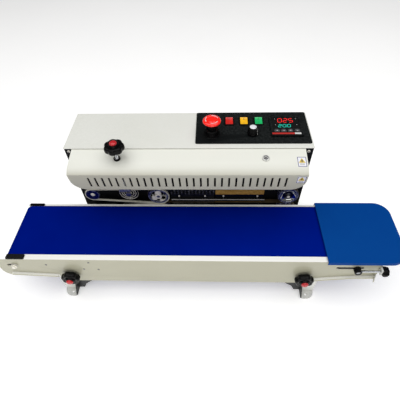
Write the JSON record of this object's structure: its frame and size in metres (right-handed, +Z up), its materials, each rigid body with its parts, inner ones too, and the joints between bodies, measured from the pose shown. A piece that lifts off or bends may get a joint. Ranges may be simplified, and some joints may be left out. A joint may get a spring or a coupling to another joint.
{
  "type": "continuous band sealer",
  "caption": "Tabletop machine that seals bag mouths between heated bands, with a vented guard, a control panel on top and a belt conveyor in front.",
  "frame": {"origin": "on the table, under the middle of the machine's bounding box", "axes": "+X along the conveyor, towards the infeed tray; +Y towards the back; +Z up"},
  "size_m": [0.926, 0.36, 0.3625],
  "materials": {
    "cream_paint": "satin",
    "black_paint": "satin",
    "bracket_paint": "satin",
    "conveyor_paint": "satin",
    "belt_blue": "gloss",
    "tray_blue": "gloss",
    "black_rubber": "matte",
    "zinc_steel": "satin",
    "chrome_steel": "polished",
    "label_film": "satin",
    "brass_block": "satin",
    "black_aluminium": "matte",
    "band_ptfe": "matte",
    "guide_rubber": "matte",
    "motor_paint": "satin",
    "black_plastic": "satin",
    "wheel_blue": "gloss",
    "red_plastic": "gloss",
    "yellow_lens": "gloss",
    "green_lens": "gloss",
    "key_grey": "matte"
  },
  "bodies": {
    "machine": {"base_pan": "cream_paint", "rubber_feet": "black_rubber", "support_arms": "black_paint", "leg_brackets": "bracket_paint", "wall_board": "black_paint", "top_cover": "cream_paint", "rear_cover": "cream_paint", "control_panel": "black_paint", "cover_screws": "zinc_steel", "front_guard": "cream_paint", "guard_bushes": "zinc_steel", "guard_labels": "label_film", "heater_block_upper": "brass_block", "heater_block_lower": "brass_block", "cooling_blocks": "black_aluminium", "band_rails": "zinc_steel", "sealing_band_upper": "band_ptfe", "sealing_band_lower": "band_ptfe", "guide_belt_upper": "guide_rubber", "guide_belt_lower": "guide_rubber", "gear_motor": "motor_paint", "drive_chain": "zinc_steel", "temperature_controller": "black_plastic", "estop_base": "black_plastic", "switch_housings": "black_plastic", "power_inlet": "black_plastic", "bearing_housings": "zinc_steel"},
    "upper_drive": {"drive_wheel_upper": "wheel_blue", "drive_gear_upper": "zinc_steel"},
    "lower_drive": {"drive_wheel_lower": "wheel_blue", "drive_gear_lower": "zinc_steel"},
    "upper_idler": {"idler_wheel_upper": "wheel_blue"},
    "lower_idler": {"idler_wheel_lower": "wheel_blue"},
    "upper_guide": {"guide_pulley_upper": "wheel_blue"},
    "lower_guide": {"guide_pulley_lower": "wheel_blue"},
    "carriage": {"emboss_carriage": "zinc_steel"},
    "embosser": {"emboss_wheel": "chrome_steel"},
    "presser": {"rubber_wheel": "black_rubber"},
    "pinion": {"motor_sprocket": "zinc_steel"},
    "pressure_screw": {"pressure_knob": "black_plastic"},
    "estop": {"estop_button": "red_plastic"},
    "power_switch": {"rocker_power": "red_plastic"},
    "heat_switch": {"rocker_heat": "yellow_lens"},
    "fan_switch": {"rocker_fan": "green_lens"},
    "speed_dial": {"speed_knob": "black_plastic"},
    "set_key": {"key_set": "key_grey"},
    "shift_key": {"key_shift": "key_grey"},
    "down_key": {"key_down": "key_grey"},
    "up_key": {"key_up": "key_grey"},
    "conveyor": {"conveyor_frame": "conveyor_paint", "conveyor_belt": "belt_blue", "end_caps": "black_plastic", "infeed_tray": "tray_blue", "conveyor_screws": "zinc_steel", "tension_bracket": "zinc_steel"},
    "conveyor_driver": {"conveyor_drive_roller": "chrome_steel"},
    "conveyor_idler": {"conveyor_idler_roller": "chrome_steel"},
    "clamp_left": {"clamp_knob_left": "black_plastic"},
    "clamp_right": {"clamp_knob_right": "black_plastic"},
    "tensioner": {"tension_knob": "black_plastic"}
  },
  "joints": [
    {"name": "lower_drive_spin", "type": "hinge", "parent": "machine", "child": "lower_drive", "pos_m": [-0.0985, 0.018, 0.1225], "axis": [0, 1, 0], "continuous": true},
    {"name": "upper_drive_spin", "type": "hinge", "parent": "machine", "child": "upper_drive", "pos_m": [-0.0985, 0.018, 0.1775], "axis": [0, 1, 0], "continuous": true},
    {"name": "upper_idler_spin", "type": "hinge", "parent": "machine", "child": "upper_idler", "pos_m": [0.2205, 0.018, 0.176], "axis": [0, 1, 0], "continuous": true},
    {"name": "lower_idler_spin", "type": "hinge", "parent": "machine", "child": "lower_idler", "pos_m": [0.2205, 0.018, 0.124], "axis": [0, 1, 0], "continuous": true},
    {"name": "upper_guide_spin", "type": "hinge", "parent": "machine", "child": "upper_guide", "pos_m": [-0.2615, 0.012, 0.183], "axis": [0, 1, 0], "continuous": true},
    {"name": "lower_guide_spin", "type": "hinge", "parent": "machine", "child": "lower_guide", "pos_m": [-0.2615, 0.012, 0.117], "axis": [0, 1, 0], "continuous": true},
    {"name": "rubber_wheel_spin", "type": "hinge", "parent": "machine", "child": "presser", "pos_m": [-0.172, 0.018, 0.1255], "axis": [0, 1, 0], "continuous": true},
    {"name": "motor_spin", "type": "hinge", "parent": "machine", "child": "pinion", "pos_m": [-0.02, 0.065, 0.092], "axis": [0, 1, 0], "continuous": true},
    {"name": "emboss_lift", "type": "slide", "parent": "machine", "child": "carriage", "axis": [0, 0, 1], "range_m": [-0.008, 0]},
    {"name": "emboss_wheel_spin", "type": "hinge", "parent": "carriage", "child": "embosser", "pos_m": [-0.172, 0.018, 0.1835], "axis": [0, 1, 0], "continuous": true},
    {"name": "pressure_turn", "type": "hinge", "parent": "machine", "child": "pressure_screw", "pos_m": [-0.1715, 0.0005, 0.345], "axis": [0, 0, 1], "range_deg": [-180, 180]},
    {"name": "estop_press", "type": "slide", "parent": "machine", "child": "estop", "axis": [0, 0, 1], "range_m": [-0.005, 0], "stiffness_N_per_m": 800},
    {"name": "power_rock", "type": "hinge", "parent": "machine", "child": "power_switch", "pos_m": [0.074, 0.117, 0.32], "axis": [1, 0, 0], "range_deg": [-16, 0]},
    {"name": "heat_rock", "type": "hinge", "parent": "machine", "child": "heat_switch", "pos_m": [0.108, 0.117, 0.32], "axis": [1, 0, 0], "range_deg": [-16, 0]},
    {"name": "fan_rock", "type": "hinge", "parent": "machine", "child": "fan_switch", "pos_m": [0.142, 0.117, 0.32], "axis": [1, 0, 0], "range_deg": [-16, 0]},
    {"name": "speed_turn", "type": "hinge", "parent": "machine", "child": "speed_dial", "pos_m": [0.125, 0.072, 0.33], "axis": [0, 0, 1], "range_deg": [-150, 150]},
    {"name": "set_press", "type": "slide", "parent": "machine", "child": "set_key", "axis": [0, 0, 1], "range_m": [-0.0012, 0], "stiffness_N_per_m": 300},
    {"name": "shift_press", "type": "slide", "parent": "machine", "child": "shift_key", "axis": [0, 0, 1], "range_m": [-0.0012, 0], "stiffness_N_per_m": 300},
    {"name": "down_press", "type": "slide", "parent": "machine", "child": "down_key", "axis": [0, 0, 1], "range_m": [-0.0012, 0], "stiffness_N_per_m": 300},
    {"name": "up_press", "type": "slide", "parent": "machine", "child": "up_key", "axis": [0, 0, 1], "range_m": [-0.0012, 0], "stiffness_N_per_m": 300},
    {"name": "conveyor_height", "type": "slide", "parent": "machine", "child": "conveyor", "axis": [0, 0, 1], "range_m": [-0.02, 0.01]},
    {"name": "conveyor_drive_spin", "type": "hinge", "parent": "conveyor", "child": "conveyor_driver", "pos_m": [-0.422, -0.069, 0.124], "axis": [0, 1, 0], "continuous": true},
    {"name": "conveyor_idler_spin", "type": "hinge", "parent": "conveyor", "child": "conveyor_idler", "pos_m": [0.358, -0.069, 0.124], "axis": [0, 1, 0], "continuous": true},
    {"name": "clamp_left_turn", "type": "hinge", "parent": "conveyor", "child": "clamp_left", "pos_m": [-0.3, -0.165, 0.0845], "axis": [0, 1, 0], "range_deg": [-180, 180]},
    {"name": "clamp_right_turn", "type": "hinge", "parent": "conveyor", "child": "clamp_right", "pos_m": [0.247, -0.165, 0.0845], "axis": [0, 1, 0], "range_deg": [-180, 180]},
    {"name": "tension_turn", "type": "hinge", "parent": "conveyor", "child": "tensioner", "pos_m": [0.418, -0.162, 0.124], "axis": [1, 0, 0], "range_deg": [-180, 180]}
  ],
  "couplings": [
    {"joint": "upper_drive_spin", "follows": "lower_drive_spin", "ratio": -1},
    {"joint": "upper_idler_spin", "follows": "lower_drive_spin", "ratio": -1.0612},
    {"joint": "lower_idler_spin", "follows": "lower_drive_spin", "ratio": 1.0612},
    {"joint": "upper_guide_spin", "follows": "lower_drive_spin", "ratio": -1.4706},
    {"joint": "lower_guide_spin", "follows": "lower_drive_spin", "ratio": 1.4706},
    {"joint": "rubber_wheel_spin", "follows": "lower_drive_spin", "ratio": 1.0833},
    {"joint": "motor_spin", "follows": "lower_drive_spin", "ratio": 1.3846},
    {"joint": "conveyor_drive_spin", "follows": "lower_drive_spin", "ratio": 1.0833},
    {"joint": "conveyor_idler_spin", "follows": "lower_drive_spin", "ratio": 1.0833}
  ]
}
